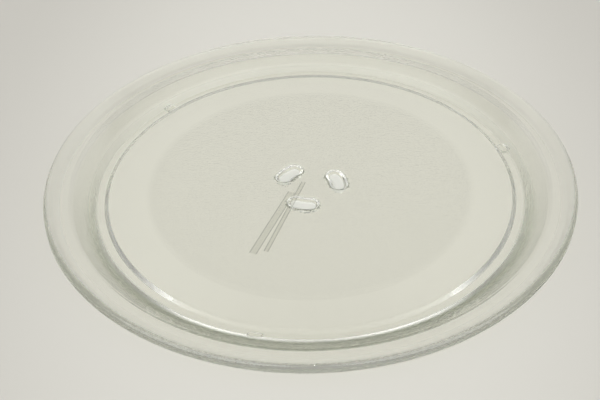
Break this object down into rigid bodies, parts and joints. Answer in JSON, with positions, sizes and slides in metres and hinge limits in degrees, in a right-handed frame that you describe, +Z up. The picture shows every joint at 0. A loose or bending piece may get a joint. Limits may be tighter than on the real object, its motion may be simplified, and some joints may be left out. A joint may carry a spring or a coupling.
{
  "type": "microwave turntable plate",
  "caption": "Round clear pressed-glass plate with a raised rim, a foot ring for a roller ring and drive lugs under its centre, turning food in an oven.",
  "frame": {"origin": "on the axis of rotation, at the level of the foot pads that the plate stands on", "axes": "+Z up along the axis of rotation, rim upwards; a lug and a pad lie 16 degrees from +X"},
  "size_m": [0.245, 0.245, 0.0149],
  "materials": {
    "pressed_glass": "clear pressed glass with a faint grey-green tint, finely stippled in the middle"
  },
  "bodies": {
    "root": {"turntable_plate": "pressed_glass"}
  },
  "joints": []
}
